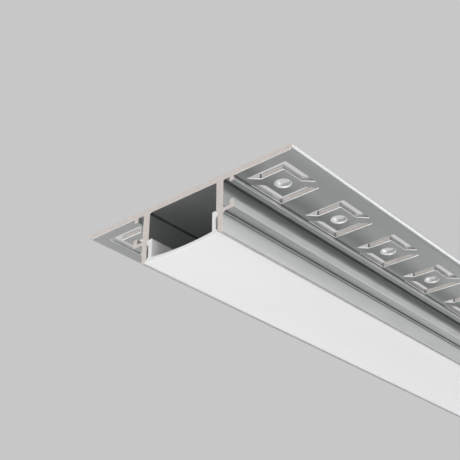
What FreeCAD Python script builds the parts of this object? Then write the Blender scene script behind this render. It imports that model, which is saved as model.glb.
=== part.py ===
"""Recessed profile for a strip of light-emitting diodes, with its snap-in cover.

The profile body is one aluminium extrusion, punched along both wings of its plate.
The cover is one extruded opal channel, held in the walls by a barb on each leg.
X runs across, Y along the bar and Z up. The origin is the middle of the plate's top
face, which lies against the ceiling. The near end of the bar faces -Y.
"""

import FreeCAD, Part
import Sketcher
import os
import re

OUT = "parts"
TOUCH = 1e-4

# Driving dimensions in millimetres, and one angle in degrees

SIZES = [
    ("bar_length", 300.0, "length of the cut bar"),
    ("plate_thick", 1.4, "plate"),
    ("plate_low_radius", 0.45, "lower long edges of the plate"),
    ("plate_top_radius", 0.2, "upper long edges of the plate"),
    ("channel_width", 20.0, "between the upper wall faces"),
    ("channel_depth", 12.4, "plate underside to the wall ends"),
    ("wall_thick", 1.95, "upper wall"),
    ("relief_depth", 0.45, "lower wall, cut back from the upper face"),
    ("joiner_gap", 1.75, "wall to rib, and wall to lip"),
    ("joiner_height", 6.75, "plate underside to the top of the arm"),
    ("rib_thick", 1.2, "rib under the plate"),
    ("rib_height", 1.1, "rib below the plate"),
    ("arm_thick", 0.85, "arm of the side hook"),
    ("lip_thick", 1.2, "lip at the end of the arm"),
    ("lip_height", 1.25, "lip above the arm"),
    ("root_radius", 0.4, "inner corners of the extrusion"),
    ("corner_radius", 0.15, "free corners of the extrusion"),
    ("end_margin", 9.4, "end of the bar to the first hole"),
    ("punch_pitch", 20.6, "hole to hole along the bar"),
    ("punch_clear", 0.2, "rib to the punched ring"),
    ("ring_across", 11.25, "punched ring outside, across the bar"),
    ("ring_along", 12.9, "punched ring outside, along the bar"),
    ("edge_margin", 4.15, "punched ring to the long edge of the plate"),
    ("slot_width", 2.05, "punched slot"),
    ("bridge_width", 2.58, "oblique bridges that hold the middle of the ring"),
    ("hole_bore", 3.4, "screw hole, diameter"),
    ("sink_margin", 0.5, "countersink beyond the hole, on the radius"),
    ("sink_angle", 90.0, "countersink, full angle"),
    ("cover_clear", 0.05, "cover to the wall, each side"),
    ("leg_thick", 1.05, "leg of the cover"),
    ("leg_height", 5.55, "leg above the wall ends"),
    ("leg_radius", 0.2, "inner top corner of a leg"),
    ("barb_depth", 0.85, "barb beyond the leg"),
    ("barb_lead", 0.95, "upper slope of the barb, its height"),
    ("barb_catch", 0.65, "lower slope of the barb, its height"),
    ("foot_flare", 1.15, "foot of the leg beyond the leg"),
    ("foot_height", 1.3, "foot of the leg above the wall ends"),
    ("face_thick", 0.88, "lit face at its middle"),
    ("dome_rise", 0.45, "lit face outside, below the wall ends"),
    ("hollow_rise", 0.5, "lit face inside, its sides above its middle"),
]

# Places and sizes that follow from the driving dimensions

DERIVED = [
    ("half_channel", "channel_width / 2"),
    ("wall_face", "half_channel + wall_thick"),
    ("hook_face", "wall_face + joiner_gap"),
    ("rib_face", "hook_face + rib_thick"),
    ("lip_face", "hook_face + lip_thick"),
    ("ceiling", "-plate_thick"),
    ("rib_end", "ceiling - rib_height"),
    ("arm_top", "ceiling - joiner_height"),
    ("arm_low", "arm_top - arm_thick"),
    ("lip_top", "arm_top + lip_height"),
    ("wall_end", "ceiling - channel_depth"),
    ("relief_face", "half_channel + relief_depth"),
    ("notch_face", "half_channel + barb_depth"),
    ("seat_edge", "half_channel + foot_flare"),
    ("leg_top", "wall_end + leg_height"),
    ("barb_level", "leg_top - barb_lead"),
    ("barb_root", "barb_level - barb_catch"),
    ("notch_level", "barb_level - cover_clear"),
    ("shoulder", "notch_level - (barb_depth - relief_depth) * barb_catch / barb_depth"),
    ("seat_top", "wall_end + (foot_flare - relief_depth) * foot_height / foot_flare"),
    ("leg_face", "half_channel - cover_clear"),
    ("leg_inside", "leg_face - leg_thick"),
    ("barb_tip", "leg_face + barb_depth"),
    ("foot_edge", "leg_face + foot_flare"),
    ("foot_top", "wall_end + foot_height"),
    ("dome_low", "wall_end - dome_rise"),
    ("dome_radius", "(foot_edge ^ 2 + dome_rise ^ 2) / (2 * dome_rise)"),
    ("hollow_low", "dome_low + face_thick"),
    ("hollow_edge", "hollow_low + hollow_rise"),
    ("hollow_radius", "(leg_inside ^ 2 + hollow_rise ^ 2) / (2 * hollow_rise)"),
    ("half_across", "ring_across / 2"),
    ("half_along", "ring_along / 2"),
    ("core_across", "half_across - slot_width"),
    ("core_along", "half_along - slot_width"),
    ("bridge_shift", "bridge_width / sqrt(2)"),
    ("hole_across", "rib_face + punch_clear + half_across"),
    ("half_plate", "hole_across + half_across + edge_margin"),
    ("hole_along", "end_margin - bar_length / 2"),
    ("punch_count", "floor((bar_length - 2 * end_margin) / punch_pitch) + 1"),
    ("punch_run", "(punch_count - 1) * punch_pitch"),
    ("sink_bore", "hole_bore + 2 * sink_margin"),
]

NAMES = {entry[0] for entry in SIZES + DERIVED}

doc = FreeCAD.newDocument("LedProfile")
sheet = doc.addObject("Spreadsheet::Sheet", "sizes")


def fill_sheet():
    """Write the driving and the derived dimensions, each in a named cell."""
    for row, (name, value, note) in enumerate(SIZES, start=1):
        sheet.set(f"A{row}", name)
        sheet.set(f"B{row}", repr(value))
        sheet.set(f"C{row}", note)
        sheet.setAlias(f"B{row}", name)
    for row, (name, formula) in enumerate(DERIVED, start=len(SIZES) + 1):
        sheet.set(f"A{row}", name)
        sheet.set(f"B{row}", "=" + formula)
        sheet.setAlias(f"B{row}", name)
    doc.recompute()


def linked(formula):
    """The formula with each dimension's name pointing at the sheet."""
    return re.sub(r"[a-z_]+", lambda word: "sizes." * (word[0] in NAMES) + word[0], formula)


def number(formula):
    """The value of a formula of named dimensions."""
    return float(sheet.evalExpression(formula))


def bind(item, **formulas):
    """Tie properties of an object to formulas of named dimensions."""
    for name, formula in formulas.items():
        item.setExpression(name, linked(formula))


def origin_part(body, role):
    """One of the body's own origin planes or axes, by its role."""
    return next(part for part in body.Origin.OriginFeatures if part.Role == role)


def add_sketch(body, name, role):
    """A sketch on one of the body's origin planes."""
    sketch = body.newObject("Sketcher::SketchObject", name)
    sketch.AttachmentSupport = [(origin_part(body, role), "")]
    sketch.MapMode = "FlatFace"
    return sketch


def hold_point(sketch, edge, end, corner):
    """Place one end of a sketch edge at a corner's two formulas."""
    for kind, formula in zip(("DistanceX", "DistanceY"), corner):
        rule = sketch.addConstraint(Sketcher.Constraint(kind, -1, 1, edge, end, number(formula)))
        sketch.setExpression(f"Constraints[{rule}]", linked(formula))


def arc_between(start, end, radius):
    """An arc centred on the sketch's upright axis, below its centre, from start to end."""
    rise = FreeCAD.Vector(0, radius, 0)
    lowest = start if abs(start.x) < abs(end.x) else end
    centre = lowest + rise
    middle = (start + end) / 2 - centre
    return Part.Arc(start, centre + middle * (radius / middle.Length), end)


def draw_outline(sketch, corners, arcs=None):
    """Draw a closed outline through corners; arcs gives a radius to the edge after a corner."""
    arcs = arcs or {}
    spots = [FreeCAD.Vector(number(across), number(up), 0) for across, up in corners]
    ends = []
    for index, start in enumerate(spots):
        end = spots[(index + 1) % len(spots)]
        if index in arcs:
            edge = sketch.addGeometry(arc_between(start, end, number(arcs[index])), False)
            rule = sketch.addConstraint(Sketcher.Constraint("Radius", edge, number(arcs[index])))
            sketch.setExpression(f"Constraints[{rule}]", linked(arcs[index]))
        else:
            edge = sketch.addGeometry(Part.LineSegment(start, end), False)
        first = 1 if sketch.getPoint(edge, 1).distanceToPoint(start) < TOUCH else 2
        ends.append((edge, first, 3 - first))
    for index, corner in enumerate(corners):
        edge, first, _ = ends[index]
        before, _, last = ends[index - 1]
        sketch.addConstraint(Sketcher.Constraint("Coincident", before, last, edge, first))
        hold_point(sketch, edge, first, corner)


def add_feature(body, kind, name, **formulas):
    """Add a feature of a kind to the body, with its sizes tied to the sheet."""
    feature = body.newObject("PartDesign::" + kind, name)
    bind(feature, **formulas)
    return feature


def pad_section(body, name, corners, arcs=None):
    """Extrude half a section along the bar, to both sides of its middle."""
    sketch = add_sketch(body, name + "_section", "XZ_Plane")
    draw_outline(sketch, corners, arcs)
    pad = add_feature(body, "Pad", name, Length="bar_length")
    pad.Profile = sketch
    pad.Midplane = True
    doc.recompute()
    return pad


def long_edges(shape, corners):
    """The names of the edges that run along the bar through the given section corners."""
    names = []
    for across, up in corners:
        x, z = number(across), number(up)
        for index, edge in enumerate(shape.Edges, start=1):
            points = [vertex.Point for vertex in edge.Vertexes]
            if all(abs(point.x - x) < TOUCH and abs(point.z - z) < TOUCH for point in points):
                names.append(f"Edge{index}")
    if len(names) != len(corners):
        raise RuntimeError(f"found {len(names)} long edges for {len(corners)} corners")
    return names


def round_edges(body, name, radius, corners):
    """Round the long edges at some corners of the section."""
    base = body.Tip
    fillet = add_feature(body, "Fillet", name, Radius=radius)
    fillet.Base = (base, long_edges(base.Shape, corners))
    doc.recompute()
    return fillet


def mirror_body(body, name):
    """Complete a body made as its right half, about the bar's upright middle plane."""
    mirror = add_feature(body, "Mirrored", name)
    mirror.TransformMode = "Whole shape"
    mirror.MirrorPlane = (origin_part(body, "YZ_Plane"), [""])
    mirror.Refine = True
    body.Tip = mirror
    doc.recompute()
    return mirror


def punch_wing(body):
    """Punch the slotted rings and their screw holes along the right wing of the plate."""
    ring = add_sketch(body, "ring_slots", "XY_Plane")
    ring.setExpression("AttachmentOffset.Base.x", linked("hole_across"))
    ring.setExpression("AttachmentOffset.Base.y", linked("hole_along"))
    slot = [
        ("bridge_shift - half_along", "-half_along"),
        ("half_across", "-half_along"),
        ("half_across", "half_across - bridge_shift"),
        ("core_across", "core_across - bridge_shift"),
        ("core_across", "-core_along"),
        ("bridge_shift - core_along", "-core_along"),
    ]
    draw_outline(ring, slot)
    draw_outline(ring, [(f"-({across})", f"-({along})") for across, along in slot])
    slots = add_feature(body, "Pocket", "ring_pocket", Length="plate_thick")
    slots.Profile = ring
    doc.recompute()

    spot = add_sketch(body, "hole_spot", "XY_Plane")
    spot.AttachmentOffset = FreeCAD.Placement(FreeCAD.Vector(), FreeCAD.Rotation(0, 0, 180))
    spot.setExpression("AttachmentOffset.Base.x", linked("hole_across"))
    spot.setExpression("AttachmentOffset.Base.y", linked("hole_along"))
    spot.setExpression("AttachmentOffset.Base.z", linked("ceiling"))
    spot.addGeometry(Part.Circle(FreeCAD.Vector(), FreeCAD.Vector(0, 0, 1), 1.0), False)
    spot.addConstraint(Sketcher.Constraint("Coincident", 0, 3, -1, 1))
    rule = spot.addConstraint(Sketcher.Constraint("Diameter", 0, number("hole_bore")))
    spot.setExpression(f"Constraints[{rule}]", linked("hole_bore"))
    doc.recompute()
    hole = add_feature(body, "Hole", "screw_hole", Diameter="hole_bore", Depth="plate_thick")
    hole.Profile = spot
    hole.DepthType = "Dimension"
    hole.DrillPoint = "Flat"
    hole.HoleCutType = "Countersink"
    hole.HoleCutCustomValues = True
    bind(hole, HoleCutDiameter="sink_bore", HoleCutCountersinkAngle="sink_angle")
    doc.recompute()

    row = add_feature(body, "LinearPattern", "punch_row", Length="punch_run")
    row.Originals = [slots, hole]
    row.Direction = (origin_part(body, "Y_Axis"), [""])
    bind(row, Occurrences="punch_count")
    body.Tip = row
    doc.recompute()


def make_profile():
    """The extruded and punched aluminium body: plate, walls, ribs and side hooks."""
    body = doc.addObject("PartDesign::Body", "profile_body")
    section = [
        ("0", "0"),
        ("half_plate", "0"),
        ("half_plate", "ceiling"),
        ("rib_face", "ceiling"),
        ("rib_face", "rib_end"),
        ("hook_face", "rib_end"),
        ("hook_face", "ceiling"),
        ("wall_face", "ceiling"),
        ("wall_face", "arm_top"),
        ("hook_face", "arm_top"),
        ("hook_face", "lip_top"),
        ("lip_face", "lip_top"),
        ("lip_face", "arm_low"),
        ("wall_face", "arm_low"),
        ("wall_face", "wall_end"),
        ("seat_edge", "wall_end"),
        ("relief_face", "seat_top"),
        ("relief_face", "shoulder"),
        ("notch_face", "notch_level"),
        ("half_channel", "leg_top"),
        ("half_channel", "ceiling"),
        ("0", "ceiling"),
    ]
    pad_section(body, "extrusion", section)
    roots = [
        ("rib_face", "ceiling"),
        ("wall_face", "ceiling"),
        ("wall_face", "arm_top"),
        ("wall_face", "arm_low"),
        ("half_channel", "ceiling"),
    ]
    corners = [
        ("rib_face", "rib_end"),
        ("hook_face", "rib_end"),
        ("hook_face", "lip_top"),
        ("lip_face", "lip_top"),
        ("lip_face", "arm_low"),
        ("wall_face", "wall_end"),
    ]
    round_edges(body, "plate_low_round", "plate_low_radius", [("half_plate", "ceiling")])
    round_edges(body, "plate_top_round", "plate_top_radius", [("half_plate", "0")])
    round_edges(body, "root_rounds", "root_radius", roots)
    round_edges(body, "corner_rounds", "corner_radius", corners)
    punch_wing(body)
    mirror_body(body, "both_wings")
    return body


def make_cover():
    """The opal cover: a domed lit face between two barbed legs."""
    body = doc.addObject("PartDesign::Body", "diffuser_cover")
    section = [
        ("0", "hollow_low"),
        ("leg_inside", "hollow_edge"),
        ("leg_inside", "leg_top"),
        ("leg_face", "leg_top"),
        ("barb_tip", "barb_level"),
        ("leg_face", "barb_root"),
        ("leg_face", "foot_top"),
        ("foot_edge", "wall_end"),
        ("0", "dome_low"),
    ]
    pad_section(body, "cover_extrusion", section, {0: "hollow_radius", 7: "dome_radius"})
    round_edges(body, "leg_round", "leg_radius", [("leg_inside", "leg_top")])
    mirror_body(body, "both_legs")
    return body


def check_document():
    """Stop if any object failed to build."""
    for item in doc.Objects:
        if {"Invalid", "Error"} & set(item.State):
            raise RuntimeError(f"{item.Name} did not build: {item.State}")


def write_parts(bodies):
    """Write each sub-part that is a sound single solid to its own file."""
    os.makedirs(OUT, exist_ok=True)
    for body in bodies:
        shape = body.Shape
        if shape.isNull() or not shape.isValid() or len(shape.Solids) != 1:
            raise RuntimeError(f"{body.Label} is not one sound solid")
        shape.exportStep(os.path.join(OUT, body.Label + ".step"))
        print(body.Label, round(shape.Volume, 1), "mm3,", len(shape.Faces), "faces")


fill_sheet()
pieces = [make_profile(), make_cover()]
doc.recompute()
check_document()
write_parts(pieces)
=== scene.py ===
"""Recessed profile for a light strip: an aluminium extrusion and the opal diffuser that snaps into it.

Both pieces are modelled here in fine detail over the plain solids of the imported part, in its own frame:
+Z is up, the bar runs along Y, and the origin is the middle of the mounting plate's top face, which
screws up against the ceiling battens. Lengths are in metres, turns and angles in degrees.
"""

import logging
import math
from collections.abc import Callable, Iterable
from dataclasses import dataclass, field
from enum import Enum

import bmesh
import bpy
from mathutils import Matrix, Vector


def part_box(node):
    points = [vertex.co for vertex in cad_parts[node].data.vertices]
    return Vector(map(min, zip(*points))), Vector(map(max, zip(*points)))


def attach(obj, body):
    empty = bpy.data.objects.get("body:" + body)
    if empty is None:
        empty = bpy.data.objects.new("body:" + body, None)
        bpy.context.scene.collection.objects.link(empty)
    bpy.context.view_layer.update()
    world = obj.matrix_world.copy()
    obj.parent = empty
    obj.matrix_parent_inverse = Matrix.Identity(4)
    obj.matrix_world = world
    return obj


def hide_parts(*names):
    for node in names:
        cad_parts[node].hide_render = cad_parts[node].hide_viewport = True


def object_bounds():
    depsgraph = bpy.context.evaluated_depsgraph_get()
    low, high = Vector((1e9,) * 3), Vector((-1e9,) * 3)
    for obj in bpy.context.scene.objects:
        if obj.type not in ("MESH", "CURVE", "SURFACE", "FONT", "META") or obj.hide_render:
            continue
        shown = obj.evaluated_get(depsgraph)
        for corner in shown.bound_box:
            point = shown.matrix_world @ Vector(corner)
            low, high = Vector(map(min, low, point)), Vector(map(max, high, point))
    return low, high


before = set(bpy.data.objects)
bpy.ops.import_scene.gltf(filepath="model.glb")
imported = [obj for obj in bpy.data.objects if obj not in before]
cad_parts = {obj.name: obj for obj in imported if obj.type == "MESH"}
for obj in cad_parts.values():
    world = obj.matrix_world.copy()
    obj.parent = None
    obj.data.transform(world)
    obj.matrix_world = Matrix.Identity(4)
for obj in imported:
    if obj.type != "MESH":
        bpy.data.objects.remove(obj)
cad_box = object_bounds()

MM = 0.001
log = logging.getLogger("recessed_profile")

# Two places nearer than this are the same place.
CLOSE = 0.01 * MM
# A cut that passes a point this closely goes through the point.
TOUCHING = CLOSE / 10
# A face looks along an axis when its normal has at least this much of it.
FACING = 0.9
# A face leans towards an axis when its normal has at least this much of it.
LEANING = 0.5
# Neighbours that turn less than this from one to the next are one flat face.
FLAT_TURN = 0.2

# The axes by their number: across the section, along the bar, and up.
ACROSS, ALONG, UP = range(3)

Corner = tuple[float, float]
FaceTest = Callable[[Vector, Vector], bool]


class Side(Enum):
    """Which of the extrusion's material slots a face takes."""

    DRAWN = 0
    # The sawn faces' warm beige tint is partly painted warm light from the front.
    SAWN = 1
    # Painted shade: the slots' long walls along the bar are darkened as if in shadow.
    PUNCHED = 2
    DRILLED = 3
    # Painted highlight: the chamfered rims round the slots and holes are whitened as if catching the light.
    RIM = 4
    # Painted shade: the section's concave roots and the slots' corners are darkened as if in shadow.
    ROOT = 5


def near(first: float, second: float) -> bool:
    """Whether two lengths are the same but for rounding."""
    return abs(first - second) < CLOSE


def turned(first: float, second: float) -> float:
    """How far a normal with these two parts is turned from the first one's axis."""
    return math.degrees(math.atan2(abs(second), abs(first)))


def runs(edge: bmesh.types.BMEdge, axis: int) -> bool:
    """Whether an edge runs straight along that axis."""
    way = edge.verts[1].co - edge.verts[0].co
    return all(near(way[other], 0) == (other != axis) for other in (ACROSS, ALONG, UP))


def lay_down() -> None:
    """Leaves edit mode and deselects every object, so that the next operator acts on its own piece."""
    if bpy.context.mode != "OBJECT":
        bpy.ops.object.mode_set(mode="OBJECT")
    bpy.ops.object.select_all(action="DESELECT")


class Bench:
    """One mesh, shaped in edit mode with the same tools as by hand."""

    def __init__(self, name: str, piece: bpy.types.Object) -> None:
        """Takes up an object and opens its mesh.

        Args:
            name: the name that the piece is given.
            piece: the object, alone in the selection and active.
        """
        self.piece = piece
        piece.name = name
        piece.data.name = name
        bpy.ops.object.transform_apply(location=True, rotation=True, scale=True)
        bpy.ops.object.mode_set(mode="EDIT")

    @classmethod
    def block(cls, name: str, low: Iterable[float], high: Iterable[float]) -> "Bench":
        """Starts a piece from a block.

        Args:
            name: the piece's name.
            low: the block's lowest corner.
            high: the block's highest corner.

        Returns:
            The bench, with the block in edit mode.
        """
        lay_down()
        first, second = Vector(low), Vector(high)
        bpy.ops.mesh.primitive_cube_add(size=1, location=(first + second) / 2, scale=second - first)
        return cls(name, bpy.context.object)

    @classmethod
    def rod(cls, name: str, radius: float, low: Iterable[float], high_z: float, sides: int) -> "Bench":
        """Starts a piece from an upright round rod.

        Args:
            name: the piece's name.
            radius: the rod's radius.
            low: the middle of the rod's lower end.
            high_z: the height of its upper end.
            sides: how many flats stand for the round.

        Returns:
            The bench, with the rod in edit mode.
        """
        lay_down()
        foot = Vector(low)
        depth = high_z - foot.z
        middle = foot + Vector((0, 0, depth / 2))
        bpy.ops.mesh.primitive_cylinder_add(vertices=sides, radius=radius, depth=depth, location=middle)
        return cls(name, bpy.context.object)

    def _select(self, kind: str, chooser: Callable[[bmesh.types.BMesh], Iterable]) -> None:
        """Selects what the chooser returns, and nothing else.

        Args:
            kind: VERT, EDGE or FACE.
            chooser: takes the open mesh and gives the elements to select.
        """
        bpy.ops.mesh.select_mode(type=kind)
        bpy.ops.mesh.select_all(action="DESELECT")
        mesh = bmesh.from_edit_mesh(self.piece.data)
        mesh.normal_update()
        for element in chooser(mesh):
            element.select_set(True)
        mesh.select_flush_mode()
        bmesh.update_edit_mesh(self.piece.data)

    def pick_faces(self, test: FaceTest) -> None:
        """Selects the faces whose middle and normal pass the test."""
        self._select("FACE", lambda m: [f for f in m.faces if test(f.calc_center_median(), f.normal)])

    def pick_underside(self, inner: float, outer: float) -> None:
        """Selects the faces that look down between two places across the section."""
        self.pick_faces(lambda place, normal: normal.z < -FACING and inner < place.x < outer)

    def pick_points(self, test: Callable[[Vector], bool]) -> None:
        """Selects the points whose place passes the test."""
        self._select("VERT", lambda m: [v for v in m.verts if test(v.co)])

    def pick_borders(self, side: Side) -> None:
        """Selects the edges between the faces of one material slot and the rest.

        Args:
            side: the material slot.
        """

        def borders(edge: bmesh.types.BMEdge) -> bool:
            """Whether just one of the edge's faces has that slot."""
            return sum(face.material_index == side.value for face in edge.link_faces) == 1

        self._select("EDGE", lambda m: [e for e in m.edges if borders(e)])

    def pick_long_edges(self, corners: Iterable[Corner]) -> None:
        """Selects the edges that run along the bar through corners of the section.

        Args:
            corners: the (x, z) of each edge.
        """
        wanted = list(corners)

        def runs_there(edge: bmesh.types.BMEdge) -> bool:
            """Whether an edge runs along the bar at one of the corners."""
            end = edge.verts[0].co
            return runs(edge, ALONG) and any(near(end.x, x) and near(end.z, z) for x, z in wanted)

        self._select("EDGE", lambda m: [e for e in m.edges if runs_there(e)])

    def pick_uprights(self) -> None:
        """Selects the edges that stand upright."""
        self._select("EDGE", lambda m: [e for e in m.edges if runs(e, UP)])

    def pick_all(self) -> None:
        """Selects the whole mesh."""
        bpy.ops.mesh.select_all(action="SELECT")

    def slice(self, place: Iterable[float], normal: Iterable[float]) -> None:
        """Cuts the selected faces along a plane through place, and keeps both sides."""
        bpy.ops.mesh.bisect(plane_co=place, plane_no=normal, use_fill=False, threshold=TOUCHING)

    def extrude(self, move: Iterable[float]) -> None:
        """Extrudes the selected faces as one region."""
        bpy.ops.mesh.extrude_region_move(TRANSFORM_OT_translate={"value": tuple(move)})

    def shift(self, move: Iterable[float]) -> None:
        """Moves what is selected."""
        bpy.ops.transform.translate(value=tuple(move))

    def stretch(self, factors: Iterable[float], centre: Iterable[float]) -> None:
        """Scales what is selected about a centre."""
        bpy.ops.transform.resize(value=tuple(factors), center_override=tuple(centre))

    def bevel(self, width: float, steps: int) -> None:
        """Bevels the selected edges, flat in one step or round in more."""
        bpy.ops.mesh.bevel(offset=width, segments=steps, affect="EDGES", clamp_overlap=False)

    def round_off(self, corners: Iterable[Corner], radius: float, steps: int) -> None:
        """Rounds the long edges at these corners of the section."""
        self.pick_long_edges(corners)
        self.bevel(radius, steps)

    def chamfer_ends(self, width: float) -> None:
        """Draws both end faces out by a narrow chamfer, and leaves them selected."""
        self.pick_faces(lambda _, normal: abs(normal.y) > FACING)
        bpy.ops.mesh.inset(thickness=width, depth=width, use_even_offset=True)

    def merge_flat(self) -> None:
        """Takes out the edges that lie in the middle of flat faces."""
        self.pick_all()
        bpy.ops.mesh.dissolve_limited(angle_limit=math.radians(FLAT_TURN))

    def paint(self, test: FaceTest, side: Side) -> None:
        """Gives faces to one of the piece's material slots.

        Args:
            test: takes a face's middle and normal, and says whether it is one of them.
            side: the material slot.
        """
        mesh = bmesh.from_edit_mesh(self.piece.data)
        for face in mesh.faces:
            if test(face.calc_center_median(), face.normal):
                face.material_index = side.value
        bmesh.update_edit_mesh(self.piece.data)

    def paint_round(self, corner: Corner, radius: float, least: float, side: Side) -> None:
        """Paints the round of a corner, or only its middle.

        Args:
            corner: the corner of the section before it was rounded.
            radius: the round's radius.
            least: the least turn from the nearest axis at which a face is painted.
            side: the material slot.
        """
        x, z = corner

        def in_round(place: Vector, normal: Vector) -> bool:
            """Whether a face belongs to that part of the round."""
            less, more = sorted((abs(normal.x), abs(normal.z)))
            return math.hypot(place.x - x, place.z - z) < radius and turned(more, less) > least

        self.paint(in_round, side)

    def mirror(self) -> None:
        """Opens the half at the middle plane, and adds the other half to it."""
        self.pick_faces(lambda place, normal: near(place.x, 0) and normal.x < -FACING)
        bpy.ops.mesh.delete(type="FACE")
        bpy.ops.object.mode_set(mode="OBJECT")
        other = self.piece.modifiers.new("other_half", "MIRROR")
        other.use_axis = (True, False, False)
        other.use_mirror_merge = True
        other.merge_threshold = CLOSE
        bpy.ops.object.modifier_apply(modifier=other.name)
        bpy.ops.object.mode_set(mode="EDIT")

    def subtract(self, tool: "Bench") -> None:
        """Cuts the tool's shape out of the piece, and clears the tool away.

        Args:
            tool: the bench with the tool, which is gone afterwards.
        """
        lay_down()
        self.piece.select_set(True)
        bpy.context.view_layer.objects.active = self.piece
        cut = self.piece.modifiers.new("cut", "BOOLEAN")
        cut.operation = "DIFFERENCE"
        cut.solver = "EXACT"
        cut.object = tool.piece
        bpy.ops.object.modifier_apply(modifier=cut.name)
        bpy.data.objects.remove(tool.piece)
        bpy.ops.object.mode_set(mode="EDIT")

    def finish(self, angle: float) -> bpy.types.Object:
        """Leaves edit mode and shades the piece, smooth over its rounds and crisp at its corners.

        Args:
            angle: the angle past which a corner is crisp.

        Returns:
            The finished piece.
        """
        lay_down()
        self.piece.select_set(True)
        bpy.context.view_layer.objects.active = self.piece
        bpy.ops.object.shade_smooth_by_angle(angle=math.radians(angle))
        even = self.piece.modifiers.new("even_shading", "WEIGHTED_NORMAL")
        even.keep_sharp = True
        bpy.ops.object.modifier_apply(modifier=even.name)
        return self.piece


class Shader:
    """A node material while it is put together on one Principled shader."""

    # Nearly all of a noise lies between these two values.
    LOWEST = 0.3
    HIGHEST = 0.7

    def __init__(self, name: str) -> None:
        """Starts an empty material.

        Args:
            name: the material's name.
        """
        self.material = bpy.data.materials.new(name)
        self.material.use_nodes = True
        self.tree = self.material.node_tree
        self.tree.nodes.clear()
        output = self.node("ShaderNodeOutputMaterial")
        self.surface = self.node("ShaderNodeBsdfPrincipled")
        self.place = self.node("ShaderNodeTexCoord").outputs["Object"]
        self.join(self.surface.outputs["BSDF"], output.inputs["Surface"])

    def node(self, kind: str) -> bpy.types.Node:
        """Adds a node of that kind."""
        return self.tree.nodes.new(kind)

    def join(self, giver: bpy.types.NodeSocket, taker: bpy.types.NodeSocket) -> None:
        """Links one socket to another."""
        self.tree.links.new(giver, taker)

    def set(self, **sockets: float | tuple) -> None:
        """Sets sockets of the Principled shader, each by its name in lower case with underscores."""
        for name, value in sockets.items():
            self.surface.inputs[name.replace("_", " ").title().replace("Ior", "IOR")].default_value = value

    def noise(self, per_metre: tuple[float, float, float], detail: float) -> bpy.types.NodeSocket:
        """Adds a soft noise over the piece.

        Args:
            per_metre: how many of its cells fit in a metre along X, Y and Z.
            detail: how many finer layers it has.

        Returns:
            The noise's value, from 0 to 1 with most of it near the middle.
        """
        mapping = self.node("ShaderNodeMapping")
        mapping.inputs["Scale"].default_value = per_metre
        texture = self.node("ShaderNodeTexNoise")
        texture.inputs["Scale"].default_value = 1.0
        texture.inputs["Detail"].default_value = detail
        self.join(self.place, mapping.inputs["Vector"])
        self.join(mapping.outputs["Vector"], texture.inputs["Vector"])
        return texture.outputs["Fac"]

    def roughen(self, value: bpy.types.NodeSocket, low: float, high: float) -> None:
        """Sets the roughness between two limits by a noise.

        Args:
            value: the noise.
            low: the roughness where it is dark.
            high: the roughness where it is bright.
        """
        ranger = self.node("ShaderNodeMapRange")
        ranger.inputs["From Min"].default_value = self.LOWEST
        ranger.inputs["From Max"].default_value = self.HIGHEST
        ranger.inputs["To Min"].default_value = low
        ranger.inputs["To Max"].default_value = high
        self.join(value, ranger.inputs["Value"])
        self.join(ranger.outputs["Result"], self.surface.inputs["Roughness"])

    def tint(self, value: bpy.types.NodeSocket, dark: tuple, light: tuple) -> None:
        """Colours the surface between two tints by a noise.

        Args:
            value: the noise.
            dark: the colour where it is dark.
            light: the colour where it is bright.
        """
        ramp = self.node("ShaderNodeValToRGB")
        first, last = ramp.color_ramp.elements
        first.position, last.position = self.LOWEST, self.HIGHEST
        first.color, last.color = (*dark, 1), (*light, 1)
        self.join(value, ramp.inputs["Fac"])
        self.join(ramp.outputs["Color"], self.surface.inputs["Base Color"])

    def relief(self, layers: Iterable[tuple[bpy.types.NodeSocket, float]]) -> None:
        """Raises the surface by several noises.

        Args:
            layers: each noise with its height in metres.
        """
        below = None
        for value, height in layers:
            bump = self.node("ShaderNodeBump")
            bump.inputs["Strength"].default_value = 1.0
            bump.inputs["Distance"].default_value = height
            self.join(value, bump.inputs["Height"])
            if below is not None:
                self.join(below, bump.inputs["Normal"])
            below = bump.outputs["Normal"]
        self.join(below, self.surface.inputs["Normal"])


@dataclass(frozen=True)
class SatinAnodising:
    """The extrusion's skin: clear anodising over fine die lines that run along the bar."""

    dark: tuple = (0.605, 0.62, 0.612)
    light: tuple = (0.66, 0.675, 0.668)
    smoothest: float = 0.33
    roughest: float = 0.39
    seal: float = 0.6
    seal_roughness: float = 0.12
    bands_per_metre: float = 180.0
    lines_per_metre: float = 2600.0
    line_stretch: float = 6.0
    line_height: float = 0.0012 * MM
    grain_per_metre: float = 9000.0
    grain_height: float = 0.0012 * MM

    def material(self) -> bpy.types.Material:
        """Makes the material.

        Returns:
            The whole material.
        """
        shader = Shader("satin_anodised_aluminium")
        shader.set(metallic=1.0, coat_weight=self.seal, coat_roughness=self.seal_roughness)
        bands = shader.noise((self.bands_per_metre, self.line_stretch, self.bands_per_metre), detail=2)
        lines = shader.noise((self.lines_per_metre, self.line_stretch, self.lines_per_metre), detail=2)
        grain = shader.noise((self.grain_per_metre,) * 3, detail=1)
        shader.tint(bands, self.dark, self.light)
        shader.roughen(lines, self.smoothest, self.roughest)
        shader.relief(((lines, self.line_height), (grain, self.grain_height)))
        return shader.material


@dataclass(frozen=True)
class BareMetal:
    """Metal that a tool or the die has left its own mark on, finely scored along the tool's way. In some
    slots its colour is painted shade or a painted highlight.
    """

    name: str
    dark: tuple
    light: tuple
    scores_per_metre: tuple[float, float, float]
    smoothest: float = 0.38
    roughest: float = 0.5
    blotches_per_metre: float = 900.0
    score_height: float = 0.002 * MM

    def material(self) -> bpy.types.Material:
        """Makes the material.

        Returns:
            The whole material.
        """
        shader = Shader(self.name)
        shader.set(metallic=1.0)
        blotches = shader.noise((self.blotches_per_metre,) * 3, detail=3)
        scores = shader.noise(self.scores_per_metre, detail=2)
        shader.tint(blotches, self.dark, self.light)
        shader.roughen(scores, self.smoothest, self.roughest)
        shader.relief(((scores, self.score_height),))
        return shader.material
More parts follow.
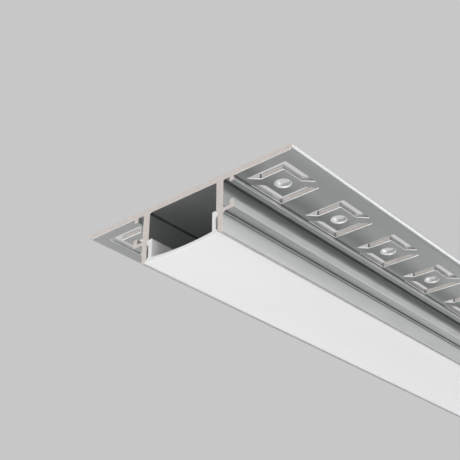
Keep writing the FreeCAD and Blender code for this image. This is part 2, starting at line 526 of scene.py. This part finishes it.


# What the extrusion wears in each of its material slots, with painted shade and a painted highlight among
# them.
FINISHES = {
    Side.DRAWN: SatinAnodising(),
    # Sawn metal. Its warm beige tint is painted warm light from the front.
    Side.SAWN: BareMetal(
        name="sawn_aluminium",
        dark=(0.70, 0.645, 0.612),
        light=(0.79, 0.73, 0.695),
        scores_per_metre=(3500, 3500, 250),
    ),
    # Painted shade for the slots' long walls.
    Side.PUNCHED: BareMetal(
        name="punched_shade_aluminium",
        dark=(0.31, 0.315, 0.32),
        light=(0.38, 0.385, 0.39),
        scores_per_metre=(3000, 3000, 200),
    ),
    Side.DRILLED: BareMetal(
        name="drilled_aluminium",
        dark=(0.52, 0.52, 0.515),
        light=(0.6, 0.6, 0.595),
        scores_per_metre=(400, 400, 4000),
        smoothest=0.6,
        roughest=0.7,
    ),
    # Painted highlight for the rims.
    Side.RIM: BareMetal(
        name="rim_highlight_aluminium",
        dark=(0.86, 0.86, 0.855),
        light=(0.93, 0.93, 0.925),
        scores_per_metre=(1200, 1200, 1200),
        smoothest=0.6,
        roughest=0.7,
    ),
    # Painted shade for the concave roots and the slots' corners.
    Side.ROOT: BareMetal(
        name="corner_shade_aluminium",
        dark=(0.17, 0.175, 0.178),
        light=(0.22, 0.225, 0.228),
        scores_per_metre=(2600, 6, 2600),
        smoothest=0.4,
        roughest=0.5,
    ),
}


@dataclass(frozen=True)
class OpalPlastic:
    """The diffuser's milky plastic, with a satin skin."""

    dark: tuple = (0.86, 0.86, 0.862)
    light: tuple = (0.90, 0.90, 0.902)
    smoothest: float = 0.42
    roughest: float = 0.5
    refraction: float = 1.49
    haze: float = 0.25
    haze_depth: float = 1.2 * MM
    clouds_per_metre: tuple[float, float, float] = (60, 8, 60)
    pearls_per_metre: tuple[float, float, float] = (2500, 900, 2500)
    pearl_height: float = 0.0008 * MM

    def material(self) -> bpy.types.Material:
        """Makes the material.

        Returns:
            The whole material.
        """
        shader = Shader("opal_diffuser_plastic")
        shader.set(ior=self.refraction, subsurface_weight=self.haze, subsurface_scale=self.haze_depth)
        shader.set(subsurface_radius=(1.0, 1.0, 1.0))
        clouds = shader.noise(self.clouds_per_metre, detail=2)
        pearls = shader.noise(self.pearls_per_metre, detail=2)
        shader.tint(clouds, self.dark, self.light)
        shader.roughen(pearls, self.smoothest, self.roughest)
        shader.relief(((pearls, self.pearl_height),))
        return shader.material


@dataclass(frozen=True)
class RingPunch:
    """The tool that punches a ring in the plate: two L slots with bridges between them, and a hole."""

    across: float = 11.25 * MM
    along: float = 12.9 * MM
    slot_width: float = 2.05 * MM
    bridge_width: float = 2.58 * MM
    corner_radius: float = 0.22 * MM
    hole_bore: float = 3.36 * MM
    reach: float = 0.3 * MM
    corner_steps: int = 2
    hole_sides: int = 48

    @property
    def half_across(self) -> float:
        """Half the ring's width over its slots."""
        return self.across / 2

    @property
    def half_along(self) -> float:
        """Half the ring's length over its slots."""
        return self.along / 2

    @property
    def bridge_shift(self) -> float:
        """How far a slot's slanting end lies from the ring's diagonal, along X."""
        return self.bridge_width / math.sqrt(2)

    def slot(self, place: Vector, thick: float) -> Bench:
        """Makes the tool for the first L slot, with its corner away from the channel and near the first end.

        Args:
            place: the ring's middle, on the plate's top face.
            thick: the plate's thickness.

        Returns:
            The bench with the slot's tool.
        """
        core_x = self.half_across - self.slot_width
        core_y = self.half_along - self.slot_width
        low = place + Vector((core_x, -self.half_along, -thick - self.reach))
        high = place + Vector((self.half_across, -core_y, self.reach))
        tool = Bench.block("slot_tool", low, high)
        end_x = self.bridge_shift - self.half_along
        tool.pick_faces(lambda _, normal: normal.x < -FACING)
        tool.extrude((end_x - core_x, 0, 0))
        tool.pick_points(lambda p: near(p.x, place.x + end_x) and near(p.y, place.y - core_y))
        tool.shift((self.slot_width, 0, 0))
        end_y = self.half_across - self.bridge_shift
        tool.pick_faces(lambda spot, normal: normal.y > FACING and spot.x > place.x + core_x)
        tool.extrude((0, end_y + core_y, 0))
        tool.pick_points(lambda p: near(p.y, place.y + end_y) and near(p.x, place.x + core_x))
        tool.shift((0, -self.slot_width, 0))
        tool.merge_flat()
        tool.pick_uprights()
        tool.bevel(self.corner_radius, self.corner_steps)
        return tool

    def hole(self, place: Vector, thick: float) -> Bench:
        """Makes the tool for the screw hole.

        Args:
            place: the ring's middle, on the plate's top face.
            thick: the plate's thickness.

        Returns:
            The bench with the hole's tool.
        """
        foot = place + Vector((0, 0, -thick - self.reach))
        return Bench.rod("hole_tool", self.hole_bore / 2, foot, place.z + self.reach, self.hole_sides)

    def row(self, first: Vector, pitch: float, count: int, thick: float) -> Bench:
        """Makes one tool that punches both wings' rings in a single cut.

        Args:
            first: the middle of the right wing's first ring, on the plate's top face.
            pitch: the distance from ring to ring.
            count: the rings of one wing.
            thick: the plate's thickness.

        Returns:
            The bench with the whole tool.
        """
        slot = self.slot(first, thick)
        slot.pick_all()
        bpy.ops.mesh.duplicate()
        slot.stretch((-1, -1, 1), first)
        hole = self.hole(first, thick)
        lay_down()
        hole.piece.select_set(True)
        slot.piece.select_set(True)
        bpy.context.view_layer.objects.active = slot.piece
        bpy.ops.object.join()
        bpy.ops.object.mode_set(mode="EDIT")
        slot.pick_all()
        for _ in range(count - 1):
            bpy.ops.mesh.duplicate()
            slot.shift((0, pitch, 0))
        slot.pick_all()
        bpy.ops.mesh.duplicate()
        slot.stretch((-1, 1, 1), (0, 0, 0))
        slot.pick_all()
        bpy.ops.mesh.normals_make_consistent(inside=False)
        return slot


@dataclass(frozen=True)
class RingWalls:
    """Tells the walls and rims of the punched rings apart, by their place and the way they face."""

    punch: RingPunch
    first: Vector
    pitch: float
    thick: float
    rim: float
    least_turn: float = 5.0
    most_turn: float = 85.0
    diagonal: float = 45.0
    diagonal_play: float = 3.0

    def off_middle(self, place: Vector) -> float:
        """How far a place is from its row's middle line."""
        return abs(abs(place.x) - self.first.x)

    def off_ring(self, place: Vector) -> float:
        """How far a place is along the bar from the nearest ring's middle."""
        return (place.y - self.first.y + self.pitch / 2) % self.pitch - self.pitch / 2

    def is_wall(self, place: Vector, normal: Vector) -> bool:
        """Whether a face is a wall of a slot or a hole."""
        in_row = self.off_middle(place) < self.punch.half_across + CLOSE
        return in_row and -self.thick < place.z < 0 and abs(normal.z) < LEANING

    def is_hole(self, place: Vector, normal: Vector) -> bool:
        """Whether a face is a wall of a screw hole."""
        off_hole = math.hypot(self.off_middle(place), self.off_ring(place))
        return off_hole < self.punch.hole_bore / 2 + CLOSE and self.is_wall(place, normal)

    def is_slot(self, place: Vector, normal: Vector) -> bool:
        """Whether a face is a wall of a slot."""
        return self.is_wall(place, normal) and not self.is_hole(place, normal)

    def is_corner(self, place: Vector, normal: Vector) -> bool:
        """Whether a face is a wall that isn't one of the slots' long walls along the bar."""
        return self.is_wall(place, normal) and turned(normal.x, normal.y) > self.least_turn

    def is_slanting_end(self, place: Vector, normal: Vector) -> bool:
        """Whether a face is a slot's end beside a bridge."""
        off_diagonal = abs(turned(normal.x, normal.y) - self.diagonal)
        return self.is_wall(place, normal) and off_diagonal < self.diagonal_play

    def is_sheared(self, place: Vector, normal: Vector) -> bool:
        """Whether a face is a slot's wall across the bar."""
        return self.is_slot(place, normal) and turned(normal.x, normal.y) > self.most_turn

    def is_rim(self, place: Vector, normal: Vector) -> bool:
        """Whether a face is the narrow chamfer round a slot or a hole."""
        in_row = self.off_middle(place) < self.punch.half_across + CLOSE + self.rim
        return in_row and LEANING < abs(normal.z) < FACING


@dataclass(frozen=True)
class Extrusion:
    """The aluminium profile: the plate with its punched wings, and the channel for the light strip."""

    low: Vector
    high: Vector
    channel_width: float = 20.0 * MM
    plate_thick: float = 1.4 * MM
    plate_low_radius: float = 1.15 * MM
    plate_top_radius: float = 0.2 * MM
    wall_thick: float = 1.95 * MM
    relief_depth: float = 0.45 * MM
    notch_depth: float = 0.85 * MM
    notch_top: float = 8.25 * MM
    notch_deepest: float = 9.25 * MM
    shoulder_drop: float = 9.556 * MM
    seat_drop: float = 13.009 * MM
    seat_flare: float = 1.15 * MM
    joiner_gap: float = 1.75 * MM
    joiner_height: float = 6.75 * MM
    rib_thick: float = 1.2 * MM
    rib_height: float = 1.1 * MM
    rib_undercut: float = 0.04 * MM
    rib_neck: float = 0.35 * MM
    arm_thick: float = 0.85 * MM
    lip_thick: float = 1.2 * MM
    lip_height: float = 1.25 * MM
    root_radius: float = 0.4 * MM
    hook_root_radius: float = 0.65 * MM
    corner_radius: float = 0.15 * MM
    fine_radius: float = 0.06 * MM
    sawn_chamfer: float = 0.05 * MM
    punch: RingPunch = field(default_factory=RingPunch)
    punch_pitch: float = 20.6 * MM
    punch_count: int = 14
    punch_start: float = 9.4 * MM
    edge_margin: float = 4.15 * MM
    punched_edge: float = 0.13 * MM
    hole_edge: float = 0.25 * MM
    torn_top: float = 0.43 * MM
    torn_low: float = 1.1 * MM
    round_steps: int = 5
    root_steps: int = 7
    fine_steps: int = 2
    least_turn: float = 1.0
    glint_turn: float = 40.0
    crisp_angle: float = 35.0

    @property
    def ceiling(self) -> float:
        """The height of the plate's lower face."""
        return -self.plate_thick

    @property
    def inner_face(self) -> float:
        """Where the channel wall's inner face stands, from the middle."""
        return self.channel_width / 2

    @property
    def wall_face(self) -> float:
        """Where the channel wall's outer face stands, from the middle."""
        return self.inner_face + self.wall_thick

    @property
    def hook_face(self) -> float:
        """Where the joiner's slot ends, from the middle."""
        return self.wall_face + self.joiner_gap

    @property
    def rib_face(self) -> float:
        """Where the rib and the lip end, from the middle."""
        return self.hook_face + self.rib_thick

    @property
    def arm_top(self) -> float:
        """The height of the hook arm's upper face."""
        return self.ceiling - self.joiner_height

    @property
    def arm_low(self) -> float:
        """The height of the hook arm's lower face."""
        return self.arm_top - self.arm_thick

    @property
    def wall_outline(self) -> tuple[Corner, ...]:
        """The wall's inner face below the channel's ceiling.

        Returns:
            The corners of its notch, its relief and the cover's seat, from above.
        """
        inner, relief = self.inner_face, self.inner_face + self.relief_depth
        return (
            (inner, -self.notch_top),
            (inner + self.notch_depth, -self.notch_deepest),
            (relief, -self.shoulder_drop),
            (relief, -self.seat_drop),
            (inner + self.seat_flare, self.low.z),
        )

    def shape_rib(self, bench: Bench) -> None:
        """Draws the rib down from the plate, very slightly undercut where its outer face meets the wing, and
        darkens that neck with painted shade.

        Args:
            bench: the half plate, already sliced at the rib's faces.
        """
        neck = self.ceiling - self.rib_neck
        bench.pick_underside(self.hook_face, self.rib_face)
        bench.extrude((0, 0, -self.rib_height))
        bench.pick_faces(lambda place, normal: normal.x > FACING and near(place.x, self.rib_face))
        bench.slice((0, 0, neck), (0, 0, 1))
        bench.pick_points(lambda p: near(p.x, self.rib_face) and near(p.z, self.ceiling))
        bench.shift((-self.rib_undercut, 0, 0))
        # Painted shade: the undercut neck where the rib meets the wing is darkened.
        bench.paint(
            lambda place, normal: normal.x > FACING
            and self.hook_face < place.x < self.rib_face
            and place.z > neck,
            Side.ROOT,
        )

    def shape_wall(self, bench: Bench) -> None:
        """Draws the wall down from the plate level by level, with the snap notch and the cover's seat.

        Args:
            bench: the half plate, already sliced at the wall's faces.
        """
        height, face = self.ceiling, self.inner_face
        bench.pick_underside(self.inner_face, self.wall_face)
        for next_face, next_height in self.wall_outline:
            bench.extrude((0, 0, next_height - height))
            bench.pick_points(lambda p: near(p.z, next_height) and near(p.x, face))
            bench.shift((next_face - face, 0, 0))
            bench.pick_faces(lambda place, normal: normal.z < -FACING and near(place.z, next_height))
            height, face = next_height, next_face

    def shape_hook(self, bench: Bench) -> None:
        """Draws the hook out of the wall and turns its lip up, which leaves the slot for the joiner.

        Args:
            bench: the half section with its wall.
        """
        for height in (self.arm_top, self.arm_low):
            bench.pick_faces(lambda place, normal: normal.x > FACING and near(place.x, self.wall_face))
            bench.slice((0, 0, height), (0, 0, 1))
        bench.pick_faces(
            lambda place, normal: normal.x > FACING
            and near(place.x, self.wall_face)
            and self.arm_low < place.z < self.arm_top
        )
        bench.extrude((self.joiner_gap, 0, 0))
        bench.extrude((self.lip_thick, 0, 0))
        bench.pick_faces(
            lambda place, normal: normal.z > FACING
            and place.x > self.hook_face
            and near(place.z, self.arm_top)
        )
        bench.extrude((0, 0, self.lip_height))

    def shape_half(self) -> Bench:
        """Shapes the half of the profile on the right of its middle plane, with its rounds.

        Returns:
            The bench with the half section, as long as the bar less its sawn edges.
        """
        chamfer = self.sawn_chamfer
        start = (0, self.low.y + chamfer, self.ceiling)
        bench = Bench.block("profile_extrusion", start, (self.high.x, self.high.y - chamfer, 0))
        for face in (self.inner_face, self.wall_face, self.hook_face, self.rib_face):
            bench.pick_all()
            bench.slice((face, 0, 0), (1, 0, 0))
        self.shape_rib(bench)
        self.shape_wall(bench)
        self.shape_hook(bench)
        bench.merge_flat()
        self.round_half(bench)
        return bench

    def round_half(self, bench: Bench) -> None:
        """Rounds the long edges as the die leaves them, and darkens the roots' rounds with painted shade.

        Args:
            bench: the half section with sharp edges.
        """
        rib_end = self.ceiling - self.rib_height
        lip_top = self.arm_top + self.lip_height
        roots = {
            (self.inner_face, self.ceiling): self.root_radius,
            (self.wall_face, self.ceiling): self.root_radius,
            (self.wall_face, self.arm_top): self.root_radius,
            (self.wall_face, self.arm_low): self.hook_root_radius,
        }
        corners = (
            (self.hook_face, rib_end),
            (self.rib_face, rib_end),
            (self.hook_face, lip_top),
            (self.rib_face, lip_top),
            (self.rib_face, self.arm_low),
        )
        bench.round_off([(self.high.x, self.ceiling)], self.plate_low_radius, self.round_steps)
        bench.round_off([(self.high.x, 0)], self.plate_top_radius, self.round_steps)
        for root, radius in roots.items():
            bench.round_off([root], radius, self.root_steps)
        bench.round_off(corners, self.corner_radius, self.round_steps)
        bench.round_off([(self.wall_face, self.low.z)], self.corner_radius, self.round_steps)
        bench.round_off(self.wall_outline, self.fine_radius, self.fine_steps)
        bench.paint(lambda place, normal: normal.z < -FACING and near(place.z, self.low.z), Side.DRILLED)
        # Painted shade in the roots' rounds. The middle strip of the hook's root keeps the anodising, so the
        # glint there comes from the lamps.
        for root, radius in roots.items():
            bench.paint_round(root, radius, self.least_turn, Side.ROOT)
        bench.paint_round((self.wall_face, self.arm_low), self.hook_root_radius, self.glint_turn, Side.DRAWN)

    def punch_rings(self, bench: Bench) -> None:
        """Punches both rows of rings, takes the sharpness off their edges and finishes their walls, with
        painted shade on the long walls and the corners and a painted highlight on the rims.

        Args:
            bench: the whole profile.
        """
        ring_x = self.high.x - self.edge_margin - self.punch.half_across
        first = Vector((ring_x, self.low.y + self.punch_start, 0))
        bench.subtract(self.punch.row(first, self.punch_pitch, self.punch_count, self.plate_thick))
        walls = RingWalls(self.punch, first, self.punch_pitch, self.plate_thick, self.punched_edge)
        # The hole walls take the rim highlight slot only for a moment, so that their borders can be found.
        bench.paint(walls.is_hole, Side.RIM)
        bench.pick_borders(Side.RIM)
        bench.bevel(self.hole_edge, steps=1)
        # Painted shade: the slots' walls take the dark slot, which stays on the long walls along the bar.
        bench.paint(walls.is_slot, Side.PUNCHED)
        bench.pick_borders(Side.PUNCHED)
        bench.bevel(self.punched_edge, steps=1)
        for depth in (self.torn_top, self.torn_low):
            bench.pick_faces(walls.is_sheared)
            bench.slice((0, 0, -depth), (0, 0, 1))
        # Painted highlight: the rims take the near-white slot.
        bench.paint(walls.is_rim, Side.RIM)
        # Painted shade in the slots' corners. The slanting ends, the holes and the sheared walls are painted
        # over next.
        bench.paint(walls.is_corner, Side.ROOT)
        for worked in (walls.is_slanting_end, walls.is_hole, walls.is_sheared):
            bench.paint(worked, Side.DRILLED)
        # The torn band of each sheared wall takes the sawn slot, with its painted warm tint.
        bench.paint(
            lambda place, normal: walls.is_sheared(place, normal)
            and self.torn_top < -place.z < self.torn_low,
            Side.SAWN,
        )

    def dress(self, extrusion: bpy.types.Object) -> None:
        """Gives the profile its finishes, in the order of their slots, and its body, and hides the imported
        node.

        Args:
            extrusion: the finished mesh.
        """
        for side in Side:
            extrusion.data.materials.append(FINISHES[side].material())
        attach(extrusion, "profile")
        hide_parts("profile_body")

    def build(self) -> bpy.types.Object:
        """Builds the whole profile.

        Returns:
            The finished and dressed piece.
        """
        bench = self.shape_half()
        bench.mirror()
        bench.merge_flat()
        bench.chamfer_ends(self.sawn_chamfer)
        bench.paint(lambda _, normal: abs(normal.y) > LEANING, Side.SAWN)
        self.punch_rings(bench)
        extrusion = bench.finish(self.crisp_angle)
        self.dress(extrusion)
        return extrusion


@dataclass(frozen=True)
class Diffuser:
    """The opal cover: a shallow dome with a foot and a barbed leg on each side."""

    low: Vector
    high: Vector
    leg_face: float = 9.95 * MM
    leg_thick: float = 1.05 * MM
    leg_radius: float = 0.2 * MM
    barb_tip: float = 10.8 * MM
    barb_level: float = -9.2 * MM
    barb_root: float = -9.85 * MM
    foot_top: float = -12.5 * MM
    foot_level: float = -13.8 * MM
    face_thick: float = 0.88 * MM
    hollow_rise: float = 0.5 * MM
    edge_radius: float = 0.06 * MM
    moulded_chamfer: float = 0.06 * MM
    dome_columns: int = 18
    leg_steps: int = 4
    edge_steps: int = 3
    crisp_angle: float = 25.0
    plastic: OpalPlastic = field(default_factory=OpalPlastic)

    @property
    def leg_inside(self) -> float:
        """Where the leg's inner face stands, from the middle."""
        return self.leg_face - self.leg_thick

    @staticmethod
    def sag(half_width: float, rise: float, across: float) -> float:
        """How far an arc has risen from its lowest point.

        Args:
            half_width: half the arc's width.
            rise: how far the arc rises over that half.
            across: the distance from its middle.

        Returns:
            The arc's rise at that distance.
        """
        radius = (half_width**2 + rise**2) / (2 * rise)
        return radius - math.sqrt(radius**2 - across**2)

    def shape_half(self) -> Bench:
        """Shapes the right half of the cover.

        Returns:
            The bench with the half section, as long as the bar less its moulded edges.
        """
        chamfer = self.moulded_chamfer
        near_end, far_end = self.low.y + chamfer, self.high.y - chamfer
        foot_edge = self.high.x
        dome_rise = self.foot_level - self.low.z
        hollow = self.low.z + self.face_thick
        bench = Bench.block("snap_diffuser", (0, near_end, self.low.z), (self.leg_face, far_end, hollow))
        width = self.leg_inside / self.dome_columns
        columns = [width * number for number in range(1, self.dome_columns + 1)]
        for place in columns:
            bench.pick_all()
            bench.slice((place, 0, 0), (1, 0, 0))
        for place in (*columns, self.leg_face):
            bench.pick_points(lambda p: near(p.x, place) and near(p.z, self.low.z))
            bench.shift((0, 0, self.sag(foot_edge, dome_rise, place)))
            bench.pick_points(lambda p: near(p.x, place) and near(p.z, hollow))
            bench.shift((0, 0, self.sag(self.leg_inside, self.hollow_rise, min(place, self.leg_inside))))
        self.shape_leg(bench, hollow + self.hollow_rise)
        self.shape_foot(bench)
        tips = [(self.leg_inside, self.high.z), (self.leg_face, self.high.z)]
        bench.round_off(tips, self.leg_radius, self.leg_steps)
        sharp = [(self.barb_tip, self.barb_level), (foot_edge, self.foot_level)]
        bench.round_off(sharp, self.edge_radius, self.edge_steps)
        return bench

    def shape_leg(self, bench: Bench, floor: float) -> None:
        """Draws the leg up from the edge of the face, with its barb.

        Args:
            bench: the half face.
            floor: the height of the face's upper side at the leg.
        """
        height = floor
        bench.pick_faces(lambda place, normal: normal.z > FACING and place.x > self.leg_inside)
        for next_height in (self.foot_top, self.barb_root, self.barb_level, self.high.z):
            bench.extrude((0, 0, next_height - height))
            height = next_height
        bench.pick_points(lambda p: near(p.x, self.leg_face) and near(p.z, self.barb_level))
        bench.shift((self.barb_tip - self.leg_face, 0, 0))

    def shape_foot(self, bench: Bench) -> None:
        """Draws the foot out of the leg's lower end, down to its edge.

        Args:
            bench: the half section with its leg.
        """
        edge = self.high.x
        bench.pick_faces(lambda place, normal: normal.x > FACING and place.z < self.foot_top)
        bench.extrude((edge - self.leg_face, 0, 0))
        bench.pick_points(lambda p: near(p.x, edge))
        bench.stretch((1, 1, 0), (edge, 0, self.foot_level))
        bench.pick_all()
        bpy.ops.mesh.remove_doubles(threshold=CLOSE)

    def dress(self, diffuser: bpy.types.Object) -> None:
        """Gives the cover its plastic and its body, and hides the imported node.

        Args:
            diffuser: the finished mesh.
        """
        diffuser.data.materials.append(self.plastic.material())
        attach(diffuser, "cover")
        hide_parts("diffuser_cover")

    def build(self) -> bpy.types.Object:
        """Builds the whole cover.

        Returns:
            The finished and dressed piece.
        """
        bench = self.shape_half()
        bench.mirror()
        bench.chamfer_ends(self.moulded_chamfer)
        diffuser = bench.finish(self.crisp_angle)
        self.dress(diffuser)
        return diffuser


@dataclass(frozen=True)
class Lamp:
    """One square soft box of the studio."""

    name: str
    place: tuple[float, float, float]
    watts: float
    size: float = 0.9

    def hang(self, target: Vector) -> None:
        """Hangs the lamp and turns it to the target.

        Args:
            target: the place that the lamp faces.
        """
        light = bpy.data.lights.new(self.name, "AREA")
        light.shape = "SQUARE"
        light.size = self.size
        light.energy = self.watts
        lamp = bpy.data.objects.new(self.name, light)
        bpy.context.scene.collection.objects.link(lamp)
        lamp.location = self.place
        lamp.rotation_euler = (target - lamp.location).to_track_quat("-Z", "Y").to_euler()
        lamp.visible_camera = False


@dataclass(frozen=True)
class Studio:
    """A pale floor far below the hung profile, a plain grey backdrop, and soft boxes round it."""

    backdrop: float = 0.572
    ambient: float = 0.3
    floor_drop: float = 1.5
    floor_size: float = 5.0
    floor_colour: tuple = (0.62, 0.62, 0.62)
    floor_roughness: float = 0.8
    lamps: tuple = (
        Lamp("right_box", (1.52, 0.05, 0.45), 22.0),
        Lamp("left_box", (-1.2, 0.0, -1.0), 6.2),
        Lamp("under_box", (0.0, 0.0, -1.4), 4.0),
        Lamp("back_box", (1.03, 1.2, -0.2), 2.9),
        Lamp("front_box", (0.0, -1.6, 0.0), 5.2),
        Lamp("front_left_box", (-1.1, -0.95, 0.7), 0.6),
        Lamp("low_front_box", (0.0, -1.25, -1.0), 9.0),
    )

    def build(self, target: Vector) -> None:
        """Sets up the whole studio.

        Args:
            target: the middle of the object, which every lamp faces.
        """
        self.lay_floor()
        self.light_world()
        for lamp in self.lamps:
            lamp.hang(target)

    def lay_floor(self) -> None:
        """Lays the floor, which isn't part of the object."""
        lay_down()
        bpy.ops.mesh.primitive_plane_add(size=self.floor_size, location=(0, 0, -self.floor_drop))
        floor = bpy.context.object
        floor.name = "studio_floor"
        shader = Shader("pale_floor")
        shader.set(base_color=(*self.floor_colour, 1), roughness=self.floor_roughness)
        floor.data.materials.append(shader.material)

    def light_world(self) -> None:
        """Gives the backdrop its grey for the camera and in reflections, and the room its soft light."""
        world = bpy.data.worlds.new("studio")
        bpy.context.scene.world = world
        world.use_nodes = True
        tree = world.node_tree
        tree.nodes.clear()
        output = tree.nodes.new("ShaderNodeOutputWorld")
        mix = tree.nodes.new("ShaderNodeMixShader")
        for number, strength in enumerate((self.ambient, self.backdrop), start=1):
            grey = tree.nodes.new("ShaderNodeBackground")
            grey.inputs["Color"].default_value = (1, 1, 1, 1)
            grey.inputs["Strength"].default_value = strength
            tree.links.new(grey.outputs["Background"], mix.inputs[number])
        path = tree.nodes.new("ShaderNodeLightPath")
        seen = path.outputs["Is Camera Ray"]
        for ray in ("Is Glossy Ray", "Is Transmission Ray"):
            either = tree.nodes.new("ShaderNodeMath")
            either.operation = "MAXIMUM"
            tree.links.new(seen, either.inputs[0])
            tree.links.new(path.outputs[ray], either.inputs[1])
            seen = either.outputs["Value"]
        tree.links.new(seen, mix.inputs["Fac"])
        tree.links.new(mix.outputs["Shader"], output.inputs["Surface"])
        bpy.context.scene.view_settings.view_transform = "Standard"


@dataclass(frozen=True)
class LowCamera:
    """The camera, low down in front of the bar's right side and looking up along it."""

    place: tuple[float, float, float] = (125.22 * MM, -278.35 * MM, -107.76 * MM)
    turn: float = -40.933
    rise: float = 28.82
    roll: float = 0.3
    lens: float = 74.3
    nearest: float = 10.0 * MM

    def set_up(self) -> None:
        """Creates the camera and makes it the scene's own."""
        turn, rise, roll = (math.radians(angle) for angle in (self.turn, self.rise, self.roll))
        ahead = Vector((math.sin(turn) * math.cos(rise), math.cos(turn) * math.cos(rise), math.sin(rise)))
        level = Vector((math.cos(turn), -math.sin(turn), 0))
        right = level * math.cos(roll) + level.cross(ahead) * math.sin(roll)
        axes = Matrix((right, right.cross(ahead), -ahead)).transposed()
        data = bpy.data.cameras.new("low_camera")
        data.lens = self.lens
        data.clip_start = self.nearest
        camera = bpy.data.objects.new("low_camera", data)
        bpy.context.scene.collection.objects.link(camera)
        camera.location = self.place
        camera.rotation_euler = axes.to_euler()
        bpy.context.scene.camera = camera


def main() -> None:
    """Builds the profile, the cover, the studio and the camera in order, and reports each piece."""
    logging.basicConfig(level=logging.INFO, format="%(name)s: %(message)s")
    pieces = [
        Extrusion(*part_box("profile_body")).build(),
        Diffuser(*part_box("diffuser_cover")).build(),
    ]
    for piece in pieces:
        log.info("%s has %d faces", piece.name, len(piece.data.polygons))
    low, high = cad_box
    Studio().build((low + high) / 2)
    LowCamera().set_up()


if __name__ == "__main__":
    main()
